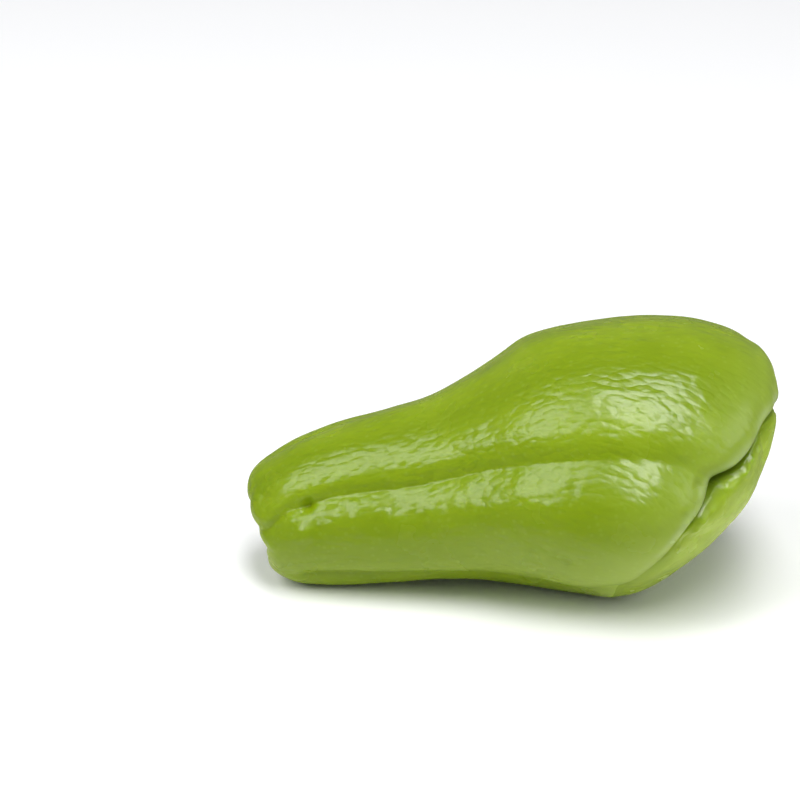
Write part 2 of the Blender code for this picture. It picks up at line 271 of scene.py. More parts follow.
# %% [markdown]
# ## Furrows and lobes
# Shallow furrows run from the stem to the mouth and part the skin into lobes. The real ones have
# one soft side and one steeper side with a crest, so each furrow here has its own line, its own
# depth and crest height along that line, and two different reaches. They push points along the
# skin's normal. A displacement texture could not follow the lines so closely.
#
# The front furrow's crest matters most: the height and the steepness of the skin beside it
# decide where the light from above turns into a highlight.

# %% The furrows' lines
# Each has share, angle, depth and crest height along it, then its reach towards lower and towards
# higher angles, and the side of its crest: 1 towards higher angles, -1 towards lower ones.
FURROWS = (
    (
        ((0.02, 76, 0.0, 0.0), (0.06, 72, 2.0, 0.3), (0.11, 64, 1.8, 0.5), (0.17, 61, 2.5, 0.8),
         (0.24, 59, 2.4, 1.0), (0.34, 61, 2.5, 1.3), (0.44, 62, 2.6, 1.7), (0.54, 63, 2.5, 2.2),
         (0.63, 62, 2.4, 3.0), (0.72, 58, 2.2, 3.5), (0.80, 55, 3.0, 2.3)),
        4.2, 7.6, 1,
    ),
    (
        ((0.08, -66, 0.0, 0.0), (0.16, -68, 2.4, 0.5), (0.36, -72, 2.8, 0.6), (0.54, -74, 4.2, 0.8),
         (0.70, -68, 3.0, 0.6), (0.80, -64, 3.6, 0.7)),
        4.8, 10.0, -1,
    ),
    (
        ((0.06, 128, 0.0, 0.0), (0.14, 134, 2.2, 0.3), (0.36, 138, 2.6, 0.4), (0.54, 142, 3.4, 0.5),
         (0.70, 136, 2.2, 0.3), (0.80, 120, 1.5, 0.2)),
        7.5, 5.5, 1,
    ),
    (
        ((0.06, -130, 0.0, 0.0), (0.16, -136, 2.0, 0.3), (0.38, -140, 2.4, 0.4),
         (0.56, -143, 3.0, 0.5), (0.80, -128, 1.6, 0.3)),
        6.0, 7.0, -1,
    ),
    (
        ((0.07, -8, 0.0, 0.0), (0.15, -14, 1.2, 0.3), (0.34, -20, 0.7, 0.2), (0.52, -24, 1.4, 0.3),
         (0.68, -26, 1.5, 0.3), (0.80, -20, 2.4, 0.4)),
        8.0, 9.0, -1,
    ),
)
print(len(FURROWS), "furrows")

# %% How the furrows press the skin
# The reaches hold where the fruit's mean radius is FULL_RADIUS, and shrink with the radius. The
# crest's place and spreads are in shares of the reach on its side. CHIN_FADE is how far past the
# mouth furrow and crest run on, as a share of the way. MOUTH_DEPTH is the mouth's depth by angle.
FULL_RADIUS = 40.0
FURROW_LEAST = 0.05
CREST_SIDE_POWER = 1.15
FAR_SIDE_POWER = 1.5
CREST_PLACE = 1.9
CREST_SPREAD = 1.1
CREST_FADE = 1.7
CHIN_FADE = 0.045
MOUTH_DEPTH = (
    (-180, 0.0), (-104, 0.0), (-86, 0.9), (-66, 2.3), (-40, 3.4), (-12, 2.4), (14, 1.3),
    (34, 1.4), (46, 2.5), (55, 3.4), (64, 1.7), (78, 0.8), (90, 0.4), (102, 0.15), (114, 0.0),
    (180, 0.0),
)


def turned(angle, line):
    """How far round an angle lies from a line, in radians, the short way."""
    return np.radians((angle - line + 180) % 360 - 180)


def mouth_strength(grid):
    """How deep the mouth's crease is at each angle, as a share of its deepest."""
    degrees, depths = np.array(MOUTH_DEPTH, float).T
    wrapped = (grid.angle + 180) % 360 - 180
    return np.maximum(smooth(degrees, depths, wrapped), 0.0)[None, :] / depths.max()


def furrow_relief(grid):
    """Depth of the furrows and height of their crests, outward positive."""
    out = np.zeros_like(grid.radius)
    past_mouth = np.clip(grid.share - MOUTH_SHARE, 0, None)[:, None]
    fading = np.exp(-((past_mouth / CHIN_FADE) ** 2))
    kept = np.where(past_mouth > 0, fading * (1 - mouth_strength(grid)), 1.0)
    for line, low_reach, high_reach, crest_side in FURROWS:
        places, angles, depths, heights = np.array(line, float).T
        at = smooth(places, angles, grid.share)[:, None]
        here = kept * np.where(grid.share < places[0], 0.0, 1.0)[:, None]
        depth = here * smooth(places, depths, grid.share)[:, None]
        height = here * smooth(places, heights, grid.share)[:, None]
        across = turned(grid.angle[None, :], at) * grid.radius
        wide = grid.radius.mean(1, keepdims=True) / FULL_RADIUS + FURROW_LEAST
        reach = np.where(across < 0, low_reach, high_reach)
        power = np.where(across * crest_side > 0, CREST_SIDE_POWER, FAR_SIDE_POWER)
        out -= depth * np.exp(-((np.abs(across) / (reach * wide)) ** power))
        crest_reach = crest_side * (high_reach if crest_side > 0 else low_reach)
        past = across / (crest_reach * wide) - CREST_PLACE
        out += height * np.exp(-((past / np.where(past < 0, CREST_SPREAD, CREST_FADE)) ** 2))
    return out


print("the deepest furrow in mm:", round(float(-furrow_relief(coarse).min()), 1))

# %% [markdown]
# ## The puckered mouth
# Where the flower was, the skin folds in on itself. The crease is deepest at the front, where a
# furrow runs into it, and at the back, and it dies out below. Its points are pulled in along the
# mouth's own plane and a little under the body, so that the body's lip closes over the chin's.
# Pleats and a slow straying of the line keep it from looking like a lid.

# %% The crease, its lips and its pleats
BODY_LIP = 6.0
CHIN_LIP = 6.0
CHIN_SLOPE = 1.6
LIP_CLOSING = 2.6
LIP_SWELL = 0.7
SWELL_REACH = 4.5
SLIT_DEPTH = 1.9
SLIT_REACH = 1.0
PLEAT_HEIGHT = 0.4
PLEAT_REACH = 6.0
STRAY = 0.8
STRAY_REACH = 9.0
NOTCH_SHARE = 0.8
NOTCH_SPREAD = 7.0


# The waves below count whole numbers to a full turn, so that they meet where the turn closes.
def mouth_relief(grid):
    """How far the mouth moves each point in, along the skin towards the chin, and out."""
    strength = mouth_strength(grid)
    depth = strength * max(deep for _, deep in MOUTH_DEPTH)
    away = np.abs(grid.to_mouth)
    near = np.clip(1 - away / np.where(grid.to_mouth < 0, BODY_LIP, CHIN_LIP), 0, 1)
    crease = depth * np.where(grid.to_mouth < 0, 1 - np.sqrt(1 - near**2), near**CHIN_SLOPE)
    closing = LIP_CLOSING * strength**0.7 * near**2 * (3 - 2 * near)
    slit = SLIT_DEPTH * strength**1.3 * np.clip(1 - away / SLIT_REACH, 0, 1)
    swell = LIP_SWELL * strength * np.exp(-(((away - SWELL_REACH) / SWELL_REACH) ** 2))
    turn = np.radians(grid.angle)[None, :] + np.where(grid.to_mouth < 0, 0.0, 0.4)
    pleat = np.sin(23 * turn + 1.3 * np.sin(5 * turn)) * (0.6 + 0.4 * np.sin(3 * turn + 1.0))
    swell += PLEAT_HEIGHT * strength**0.5 * pleat * np.exp(-((away / PLEAT_REACH) ** 2))
    return crease + slit, closing, swell


def mouth_stray(grid):
    """How far the skin by the mouth is drawn along itself, back where a furrow runs into it."""
    turn = np.radians(grid.angle)[None, :]
    wave = np.sin(3 * turn + 0.6) + 0.6 * np.sin(7 * turn + 2.0) + 0.3 * np.sin(13 * turn)
    drawn = STRAY * wave
    for line, *_ in FURROWS:
        _, end, depth, _ = line[-1]
        off = np.degrees(turned(grid.angle, end))[None, :]
        drawn = drawn - NOTCH_SHARE * depth * np.exp(-((off / NOTCH_SPREAD) ** 2))
    return drawn * np.exp(-((grid.to_mouth / STRAY_REACH) ** 2))


print("the mouth's depth in mm:", round(float(mouth_relief(coarse)[0].max()), 1))

# %% [markdown]
# ## The stem end and the chin
# The stem sat in a small hollow with folds running out of it, and it left a corky scar on the
# hollow's floor. On the chin a few creases fan out from the mouth. Both are made the same way:
# a list of lines, each with a depth, faded by the distance from the stem or from the mouth. The
# chin's creases also fade towards its tip, where they would otherwise all meet in a star.

# %% The hollow, its folds and the chin's creases
# Creases over the chin: angle, length, depth and reach in mm. They fade out where the spokes are
# shorter than CHIN_CLEAR, and begin over the first CREASE_START mm past the mouth.
CHIN_CREASES = (
    (26, 24.0, 2.4, 4.6),
    (82, 15.0, 1.6, 3.6),
    (-8, 36.0, 5.6, 6.0),
    (-42, 24.0, 3.4, 4.6),
    (-88, 16.0, 2.0, 4.0),
    (128, 18.0, 1.8, 6.0),
    (-134, 18.0, 1.8, 6.0),
)
CHIN_CLEAR = 14.0
CREASE_START = 3.0
LINE_POWER = 1.5

HOLLOW_DEPTH = 4.2
HOLLOW_REACH = 6.0
SCAR_RADIUS = 2.8

# Folds round the stem: angle and depth. They are deepest FOLD_PLACE mm from the stem.
FOLDS = (
    (97, 3.4), (122, 2.2), (66, 1.5), (24, 1.4), (-34, 2.0), (-84, 1.8), (-132, 2.0), (172, 1.2),
)
FOLD_PLACE = 8.5
FOLD_SPREAD = 4.5
FOLD_REACH = 1.9


def end_relief(grid):
    """The stem's hollow and folds, and the creases over the chin, outward positive."""
    hollow = np.exp(-((np.maximum(grid.from_stem - SCAR_RADIUS, 0) / HOLLOW_REACH) ** 2))
    out = -HOLLOW_DEPTH * hollow
    for line, depth in FOLDS:
        across = turned(grid.angle[None, :], line) * np.maximum(grid.from_stem, 0.1)
        window = np.exp(-(((grid.from_stem - FOLD_PLACE) / FOLD_SPREAD) ** 2))
        out -= depth * window * np.exp(-(np.abs(across) / FOLD_REACH) ** LINE_POWER)
    clear_of_pole = np.clip(grid.radius / CHIN_CLEAR, 0, 1) ** 2
    for line, length, depth, reach in CHIN_CREASES:
        across = turned(grid.angle[None, :], line) * grid.radius
        begun = np.clip(grid.to_mouth / CREASE_START, 0, 1)
        window = begun * np.clip(1 - grid.to_mouth / length, 0, 1) * clear_of_pole
        out -= depth * window * np.exp(-(np.abs(across) / reach) ** LINE_POWER)
    return out


print("the ends go in by mm:", round(float(-end_relief(coarse).min()), 1))

# %% The slow unevenness of a grown skin
LUMP_SIZE = 24.0
LUMP_HEIGHT = 0.8
LUMPS_FULL_AT = 14.0


def noise_over(points):
    """Smooth noise, from about -1 to 1, at every point of a grid."""
    height = np.empty(points.shape[:2])
    for place in np.ndindex(height.shape):
        height[place] = noise.noise(Vector(points[place]))
    return height


def lumps(grid):
    """Broad lumps that fade out towards the underside."""
    above = np.clip(grid.skin[..., 2] / LUMPS_FULL_AT, 0, 1)
    return LUMP_HEIGHT * noise_over(grid.skin / LUMP_SIZE) * above


def main_form(grid, extra=0.0):
    """The finished skin of a grid, in mm, with any finer relief added along its normals."""
    crease, closing, swell = mouth_relief(grid)
    out = furrow_relief(grid) + swell + end_relief(grid) + lumps(grid) + extra
    skin = grid.skin + out[..., None] * grid.outward - crease[..., None] * grid.out_of_mouth
    skin += (closing + mouth_stray(grid))[..., None] * grid.along
    skin[..., 2] = np.maximum(skin[..., 2], 0.0)
    return skin


coarse_skin = main_form(coarse).reshape(-1, 3)
low, high = coarse_skin.min(0), coarse_skin.max(0)
skin_origin = np.array([(low[0] + high[0]) / 2, (low[1] + high[1]) / 2, low[2]])
print("size in mm:", np.round(high - low, 1))

# %% [markdown]
# ## Wrinkles, pits and warts
# Close up, the skin is faintly hammered, with wrinkles that run along the fruit. They are what
# breaks the highlights into strokes. The ones wide enough for the mesh are real displacement,
# made from noise that is stretched along the fruit's own length. The pits and warts are placed
# one by one where the photograph shows them. Anything finer is left to the material.

# %% The grid that carries the fine relief
RINGS = 290
SPOKES = 340
CHIN_BLEND = 0.06

fine = Grid(RINGS, SPOKES)
turn = np.radians(fine.angle)[None, :]
grown = np.stack([fine.from_stem, fine.radius * np.cos(turn), fine.radius * np.sin(turn)], -1)
on_chin = np.clip((fine.share - MOUTH_SHARE) / CHIN_BLEND, 0, 1)[:, None]
print("triangles:", 2 * SPOKES * (RINGS - 1) + 2 * SPOKES)

# %% Where the skin is wrinkled
# The wrinkles gather round one angle, within a spread. Elsewhere they keep SMOOTH_SHARE of their
# height, and in patches up to PATCH_SHARE more. Near the mouth they lose CALM_SHARE of it.
WRINKLED_ANGLE = 52.0
WRINKLED_SPREAD = 24.0
SMOOTH_SHARE = 0.45
PATCH_SHARE = 0.35
PATCH_SIZE = 22.0
CALM_SHARE = 0.55
CALM_REACH = 14.0


def wrinkled():
    """How wrinkled the skin is at each point, from patch to patch, at most 1."""
    off = np.degrees(turned(fine.angle, WRINKLED_ANGLE))[None, :]
    patch = np.clip(0.5 + 0.9 * noise_over(fine.skin / PATCH_SIZE + 5.1), 0, 1)
    rest = SMOOTH_SHARE + PATCH_SHARE * patch
    share = rest + (1 - rest) * np.exp(-((off / WRINKLED_SPREAD) ** 2)) * (1 - on_chin)
    return share * (1 - CALM_SHARE * np.exp(-((fine.to_mouth / CALM_REACH) ** 2)))


wrinkle_share = wrinkled()
print("wrinkled from", round(float(wrinkle_share.min()), 2), "to", round(float(wrinkle_share.max()), 2))

# %% Wrinkles from stretched noise
# Size along the fruit, size round it, and height, all in mm. The broadest are everywhere, the
# others follow how wrinkled the skin is. All fade out below REST_CLEAR mm above the floor.
WRINKLES = (
    (14.0, 9.0, 0.28),
    (8.0, 5.0, 0.15),
    (4.6, 2.8, 0.07),
)
REST_CLEAR = 8.0


def wrinkles():
    """All rows of WRINKLES together, outward positive."""
    out = np.zeros(grown.shape[:2])
    for number, (along, across, height) in enumerate(WRINKLES):
        shift = 17.3 * (number + 1)
        on_body = noise_over(grown / [along, across, across] + shift)
        beyond = noise_over(fine.skin / (along + across) * 2 + shift)
        share = 1.0 if number == 0 else wrinkle_share
        out += share * height * (on_body + (beyond - on_body) * on_chin)
    return out * np.clip(fine.skin[..., 2] / REST_CLEAR, 0, 1)


fine_wrinkles = wrinkles()
print("wrinkles reach in mm:", np.round([fine_wrinkles.min(), fine_wrinkles.max()], 2))

# %% Pits and warts by place
# Share of the way, angle, radius and height in mm: pits are below zero.
SPOTS = (
    (0.172, 62, 1.7, -1.7),
    (0.137, 70, 2.4, 0.9),
    (0.155, 80, 2.4, 0.9),
    (0.142, 88, 2.2, 0.6),
    (0.085, 40, 2.8, -0.7),
    (0.772, 60, 1.4, -0.9),
    (0.776, 72, 1.3, -0.7),
    (0.640, 40, 1.2, 0.25),
    (0.575, 74, 1.9, -0.3),
    (0.545, 80, 1.7, 0.3),
    (0.700, 24, 1.3, 0.3),
    (0.715, 32, 1.1, 0.3),
    (0.50, 90, 1.6, -0.3),
    (0.60, 104, 1.4, -0.35),
    (0.42, -40, 1.6, -0.4),
    (0.62, -100, 1.8, -0.4),
)
# On the chin's lip: angle, distance past the mouth, radius and height in mm.
LIP_WARTS = (
    (22, 3.2, 1.3, 0.6), (29, 3.0, 1.3, 0.9), (32, 4.8, 1.1, 0.6), (38, 2.6, 1.4, 1.0),
    (45, 3.2, 2.1, 1.3), (55, 2.6, 1.2, 0.9), (71, 2.8, 1.5, 1.1), (76, 3.8, 1.1, 0.7),
    (66, 3.8, 0.9, 0.5), (88, 3.2, 1.2, 0.4),
    (4, 4.4, 1.6, 0.5), (-14, 4.0, 1.7, 0.6), (-30, 4.2, 1.5, 0.6), (-48, 4.0, 1.6, 0.6),
    (-62, 3.8, 1.4, 0.5),
)


def bump_at(row, angle, radius, height):
    """A soft round bump on the skin, in this row of the grid and at this angle."""
    column = int(round(angle / 360 * SPOKES)) % SPOKES
    away = np.linalg.norm(fine.skin - fine.skin[row, column], axis=-1)
    return height * np.exp(-((away / radius) ** 2))


def spots():
    """All the pits and warts together, outward positive."""
    out = np.zeros(fine.skin.shape[:2])
    for share, angle, radius, height in SPOTS:
        row = np.argmin(np.abs(fine.share - share))
        out += bump_at(row, angle, radius, height)
    for angle, past, radius, height in LIP_WARTS:
        column = int(round(angle / 360 * SPOKES)) % SPOKES
        row = np.argmin(np.abs(fine.to_mouth[:, column] - past))
        out += bump_at(row, angle, radius, height)
    return out


fine_spots = spots()
print(len(SPOTS) + len(LIP_WARTS), "pits and warts")

# %% Puckers across the front crest
# They lie between two shares of the way and fade in and out by them. In mm: how far below the front
# furrow they lie, how far they spread from there, their size along the fruit and round it, and
# their height.
PUCKER_START, PUCKER_START_FADE = 0.14, 0.05
PUCKER_END, PUCKER_END_FADE = 0.62, 0.22
PUCKER_PLACE, PUCKER_SPREAD = 6.0, 5.0
PUCKER_SIZE = (3.6, 9.0)
PUCKER_HEIGHT = 0.6


def puckers():
    """Small folds that cross the crest below the front furrow, from the stem end to the belly."""
    places, angles, _, _ = np.array(FURROWS[0][0], float).T
    at = smooth(places, angles, fine.share)[:, None]
    across = turned(fine.angle[None, :], at) * fine.radius
    crest = np.exp(-(((across - PUCKER_PLACE) / PUCKER_SPREAD) ** 2))
    begun = np.clip((fine.share - PUCKER_START) / PUCKER_START_FADE, 0, 1)
    ending = np.clip((PUCKER_END - fine.share) / PUCKER_END_FADE, 0, 1)
    size_along, size_across = PUCKER_SIZE
    at = np.stack([fine.from_stem / size_along, across / size_across, 0 * across], -1)
    return PUCKER_HEIGHT * noise_over(at) * crest * (begun * ending)[:, None]


fine_puckers = puckers()
print("puckers reach in mm:", np.round([fine_puckers.min(), fine_puckers.max()], 2))

# %% The pale rim of the body's lip: a low ridge, with a painted highlight along it
# It stands RIM_PLACE mm before the mouth's line, wherever the mouth has RIM_WHOLE of its depth or
# more, and noise of RIM_BREAKS mm breaks it up.
RIM_PLACE = 1.8
RIM_SPREAD = 1.1
RIM_HEIGHT = 0.35
RIM_WHOLE = 0.3
RIM_BREAKS = 7.0


def lip_rim():
    """How strongly the rim stands at each point, from 0 to 1."""
    strength = np.clip(mouth_strength(fine) / RIM_WHOLE, 0, 1)
    broken = np.clip(0.55 + 1.3 * noise_over(fine.skin / RIM_BREAKS + 2.3), 0, 1)
    return strength * broken * np.exp(-(((fine.to_mouth + RIM_PLACE) / RIM_SPREAD) ** 2))


rim = lip_rim()
fine_relief = fine_wrinkles + (fine_spots + fine_puckers + RIM_HEIGHT * rim)
print("the fine relief in mm:", np.round([fine_relief.min(), fine_relief.max()], 2))

# %% Build the mesh
# The grid becomes one closed mesh, with a fan of triangles round each pole.
def per_point(values):
    """A grid's values in the order of the mesh's points, each pole once."""
    return np.concatenate([values[:1, 0], values[1:-1].reshape(-1, *values.shape[2:]), values[-1:, 0]])


places = per_point((main_form(fine, fine_relief) - skin_origin) * MM)
last = len(places) - 1
faces = []
for k in range(SPOKES):
    after = (k + 1) % SPOKES
    faces.append((0, 1 + after, 1 + k))
    for row in range(RINGS - 1):
        here = 1 + row * SPOKES
        faces.append((here + k, here + after, here + SPOKES + after, here + SPOKES + k))
    end = 1 + (RINGS - 1) * SPOKES
    faces.append((end + k, end + after, last))
fruit_mesh = bpy.data.meshes.new("chayote_skin")
fruit_mesh.from_pydata([tuple(p) for p in places], [], faces)
print(len(places), "points", len(faces), "faces")

# %% Turn the faces outward, smooth them and hang the mesh on the frame
# One face in EVERY is enough to tell whether the volume inside comes out positive.
EVERY = 97

volume = 0.0
for a, b, c, *_ in faces[::EVERY]:
    volume += np.dot(places[a], np.cross(places[b], places[c]))
if volume < 0:
    fruit_mesh.flip_normals()
fruit_mesh.shade_smooth()
fruit = bpy.data.objects.new("chayote_skin", fruit_mesh)
bpy.context.collection.objects.link(fruit)
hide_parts("chayote_fruit")
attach(fruit, "root")
print("faces turned:", volume < 0)


# %% [markdown]
# ## What the material may know about the skin
# A material only sees a point and a normal. To paint shade into the furrows, the mouth and the
# sides, paint light onto the chin, a reflection by the mouth and a highlight on the mouth's rim,
# and to colour the scar brown, each point also carries a few numbers as mesh attributes. They are
# worked out from the same grid that made the shape, so they always fit it. Two more attributes are
# places: one on the plain body, for the mottling, and one measured from the stem as the skin grew,
# so that the grain can stretch along the fruit.

# %% Put a value on every point
def add_number(name, values):
    """A number on every point of the skin."""
    layer = fruit_mesh.attributes.new(name, "FLOAT", "POINT")
    layer.data.foreach_set("value", per_point(values).astype(np.float32))


def add_place(name, values):
    """A place in mm on every point of the skin."""
    layer = fruit_mesh.attributes.new(name, "FLOAT_VECTOR", "POINT")
    layer.data.foreach_set("vector", per_point(values).astype(np.float32).ravel())


add_place("grown", np.where(on_chin[..., None] > 0, fine.skin, grown))
add_place("place", fine.skin)
add_number("rim", rim)
add_number("wrinkled", wrinkle_share)
print("so far:", [a.name for a in fruit_mesh.attributes if not a.name.startswith(".")])

# %% The furrows, the mouth, the chin and the scar, each from 0 to about 1
# The sizes are in mm, but MOUTH_WHOLE and the chin's LEAST and MOST are shares: a colour goes to
# its full strength where the value reaches 1.
FURROW_WHOLE = 3.4
MOUTH_WHOLE, MOUTH_REACH = 1.6, 2.2
NEAR_MOUTH_REACH = 13.0
CHIN_EDGE, CHIN_FOOT, CHIN_RISE = 6.0, 14.0, 34.0
CHIN_LEAST, CHIN_MOST = 0.35, 1.25
SCAR_EDGE = 0.8

in_mouth = np.exp(-((fine.to_mouth / MOUTH_REACH) ** 2))
near_mouth = np.exp(-((fine.to_mouth / NEAR_MOUTH_REACH) ** 2))
# Painted light: the chin value paints the chin paler, more so higher up; the material breaks it into
# patches.
up_chin = np.clip((fine.skin[..., 2] - CHIN_FOOT) / CHIN_RISE, 0, 1)
chin = np.clip(fine.to_mouth / CHIN_EDGE, 0, 1) * (CHIN_LEAST + (CHIN_MOST - CHIN_LEAST) * up_chin)
# Painted shade: the furrow value darkens the skin along the furrows.
add_number("furrow", np.clip(-furrow_relief(fine) / FURROW_WHOLE, 0, 1))
# Painted shade: the mouth value darkens the skin in the mouth's crease.
add_number("mouth", np.clip(mouth_strength(fine) / MOUTH_WHOLE, 0, 1) * in_mouth)
# Painted reflection: near_mouth pales the body's lip before the mouth, like a grazing sheen.
add_number("near_mouth", near_mouth * np.where(fine.to_mouth < 0, 1, 0))
add_number("chin", chin)
add_number("scar", np.clip((SCAR_RADIUS - fine.from_stem) / SCAR_EDGE + 0.5, 0, 1))
print("the chin's value goes up to", round(float(chin.max()), 2))

# %% Painted shade: a deeper green on the sides, the front shoulder and the stem end
# Angles and their spreads are in degrees, the reach is in mm.
SIDE_ANGLE, SIDE_SPREAD = 105.0, 34.0
SHOULDER_ANGLE, SHOULDER_SPREAD, SHOULDER_SHARE = 26.0, 14.0, 0.8
STEM_END_REACH = 17.0

# Painted shade: the sides, a band along the front shoulder and the stem end get a darker green.
wrapped_angle = (fine.angle[None, :] + 180) % 360 - 180
side = np.exp(-(((np.abs(wrapped_angle) - SIDE_ANGLE) / SIDE_SPREAD) ** 2)) * (1 - on_chin)
shoulder = np.exp(-(((wrapped_angle - SHOULDER_ANGLE) / SHOULDER_SPREAD) ** 2)) * (1 - on_chin)
side += SHOULDER_SHARE * shoulder + np.exp(-((fine.from_stem / STEM_END_REACH) ** 2))
add_number("side", np.clip(side, 0, 1))
print("all:", [a.name for a in fruit_mesh.attributes if not a.name.startswith(".")])

# %% [markdown]
# ## Two shared effects
# The skin is mottled, and it has a fine grain that catches the light. Each effect is built once
# as a node group with named inputs and outputs, and the material gives it its sizes. The groups
# know nothing about this fruit, so the skin of another one can use them with sizes of its own.
# They only give numbers: the colours and the shader stay in the material.


# %% A helper for node groups
def new_group(name, inputs, outputs):
    """An empty shader group with the inputs and outputs asked for, and its two end nodes."""
    group = bpy.data.node_groups.new(name, "ShaderNodeTree")
    for label, kind, value in inputs:
        socket = group.interface.new_socket(label, in_out="INPUT", socket_type=kind)
        if value is not None:
            socket.default_value = value
    for label, kind in outputs:
        group.interface.new_socket(label, in_out="OUTPUT", socket_type=kind)
    return group, group.nodes.new("NodeGroupInput"), group.nodes.new("NodeGroupOutput")


def link(tree, source, target):
    """One link, from an output socket to an input socket."""
    tree.links.new(source, target)


def feed(tree, value, socket):
    """Give an input a number or a colour, or link it where the value is an output socket."""
    if isinstance(value, (int, float, tuple)):
        socket.default_value = value
    else:
        link(tree, value, socket)


def math_node(tree, operation, first, second):
    """A Math node whose inputs are sockets or plain numbers; gives its output socket."""
    node = tree.nodes.new("ShaderNodeMath")
    node.operation = operation
    feed(tree, first, node.inputs[0])
    feed(tree, second, node.inputs[1])
    return node.outputs[0]


print("helpers ready")

# %% Group one: mottling
mottle, mottle_in, mottle_end = new_group(
    "skin_mottle",
    [("Place", "NodeSocketVector", None), ("Patch", "NodeSocketFloat", 0.06),
     ("Fleck", "NodeSocketFloat", 0.5)],
    [("Patches", "NodeSocketFloat"), ("Flecks", "NodeSocketFloat")],
)
patches = mottle.nodes.new("ShaderNodeTexNoise")
patches.inputs["Detail"].default_value = 3.0
patches.inputs["Roughness"].default_value = 0.55
link(mottle, mottle_in.outputs["Place"], patches.inputs["Vector"])
link(mottle, mottle_in.outputs["Patch"], patches.inputs["Scale"])
flecks = mottle.nodes.new("ShaderNodeTexVoronoi")
link(mottle, mottle_in.outputs["Place"], flecks.inputs["Vector"])
link(mottle, mottle_in.outputs["Fleck"], flecks.inputs["Scale"])
near = mottle.nodes.new("ShaderNodeMapRange")
near.inputs["From Min"].default_value = 0.10
near.inputs["From Max"].default_value = 0.32
near.inputs["To Min"].default_value = 1.0
near.inputs["To Max"].default_value = 0.0
link(mottle, flecks.outputs["Distance"], near.inputs["Value"])
link(mottle, patches.outputs["Fac"], mottle_end.inputs["Patches"])
link(mottle, near.outputs["Result"], mottle_end.inputs["Flecks"])
print("group", mottle.name, len(mottle.nodes), "nodes")

# %% Group two: fine grain, as a height
grain, grain_in, grain_end = new_group(
    "skin_grain",
    [("Place", "NodeSocketVector", None), ("Strokes", "NodeSocketFloat", 0.45),
     ("Pores", "NodeSocketFloat", 1.4), ("Pore Share", "NodeSocketFloat", 0.3),
     ("Cells", "NodeSocketFloat", 0.36)],
    [("Height", "NodeSocketFloat")],
)
stretch = grain.nodes.new("ShaderNodeMapping")
stretch.inputs["Scale"].default_value = (0.5, 1.0, 1.0)
link(grain, grain_in.outputs["Place"], stretch.inputs["Vector"])
cells = grain.nodes.new("ShaderNodeTexVoronoi")
cells.feature = "SMOOTH_F1"
cells.inputs["Smoothness"].default_value = 0.35
link(grain, stretch.outputs["Vector"], cells.inputs["Vector"])
link(grain, grain_in.outputs["Cells"], cells.inputs["Scale"])
strokes = grain.nodes.new("ShaderNodeTexNoise")
strokes.inputs["Detail"].default_value = 0.6
strokes.inputs["Roughness"].default_value = 0.55
strokes.inputs["Distortion"].default_value = 0.4
link(grain, stretch.outputs["Vector"], strokes.inputs["Vector"])
link(grain, grain_in.outputs["Strokes"], strokes.inputs["Scale"])
pores = grain.nodes.new("ShaderNodeTexNoise")
pores.inputs["Detail"].default_value = 1.0
link(grain, grain_in.outputs["Place"], pores.inputs["Vector"])
link(grain, grain_in.outputs["Pores"], pores.inputs["Scale"])
pore_height = math_node(grain, "MULTIPLY", pores.outputs["Fac"], grain_in.outputs["Pore Share"])
domes = math_node(grain, "MULTIPLY", cells.outputs["Distance"], cells.outputs["Distance"])
rough_height = math_node(grain, "ADD", strokes.outputs["Fac"], pore_height)
height = math_node(grain, "SUBTRACT", rough_height, domes)
link(grain, height, grain_end.inputs["Height"])
print("group", grain.name, len(grain.nodes), "nodes")

# %% [markdown]
# ## The green skin
# The skin is thin and waxy over wet flesh: a soft gloss, with a little light passing under it.
# A Principled BSDF with subsurface does that. Its colour is mixed in steps: mottled green,
# painted shade as a deeper green on the sides, on the front shoulder, at the stem end, in the
# furrows and in the mouth, painted light as a paler green over the chin, a painted reflection by
# the mouth, a painted highlight on the mouth's rim, pale flecks, and brown on the stem's scar.
# The chin's painted light comes in patches of its own, from the same mottling group set to a
# smaller size.


# %% Helpers for colour steps
def colour_step(tree, factor, under, over):
    """Mix from one colour to another by a factor socket; gives the result's socket."""
    node = tree.nodes.new("ShaderNodeMix")
    node.data_type = "RGBA"
    feed(tree, factor, node.inputs["Factor"])
    feed(tree, under, node.inputs["A"])
    feed(tree, over, node.inputs["B"])
    return node.outputs["Result"]


def attribute(tree, name, output="Fac"):
    """A value that the mesh carries at each point."""
    node = tree.nodes.new("ShaderNodeAttribute")
    node.attribute_name = name
    return node.outputs[output]


def ramp(tree, source, low_edge, high_edge):
    """Stretch a value so that it runs from 0 at one edge to 1 at the other."""
    node = tree.nodes.new("ShaderNodeMapRange")
    node.inputs["From Min"].default_value = low_edge
    node.inputs["From Max"].default_value = high_edge
    link(tree, source, node.inputs["Value"])
    return node.outputs["Result"]


def place_group(tree, group, where, **sizes):
    """A node group fed with a place attribute and with sizes of its own, by input name."""
    node = tree.nodes.new("ShaderNodeGroup")
    node.node_tree = group
    link(tree, attribute(tree, where, "Vector"), node.inputs["Place"])
    for name, size in sizes.items():
        node.inputs[name.replace("_", " ")].default_value = size
    return node.outputs


print("colour helpers ready")

# %% The skin's colours, and how far each of them goes
GREEN = (0.200, 0.290, 0.003, 1.0)
PALE_GREEN = (0.245, 0.344, 0.008, 1.0)
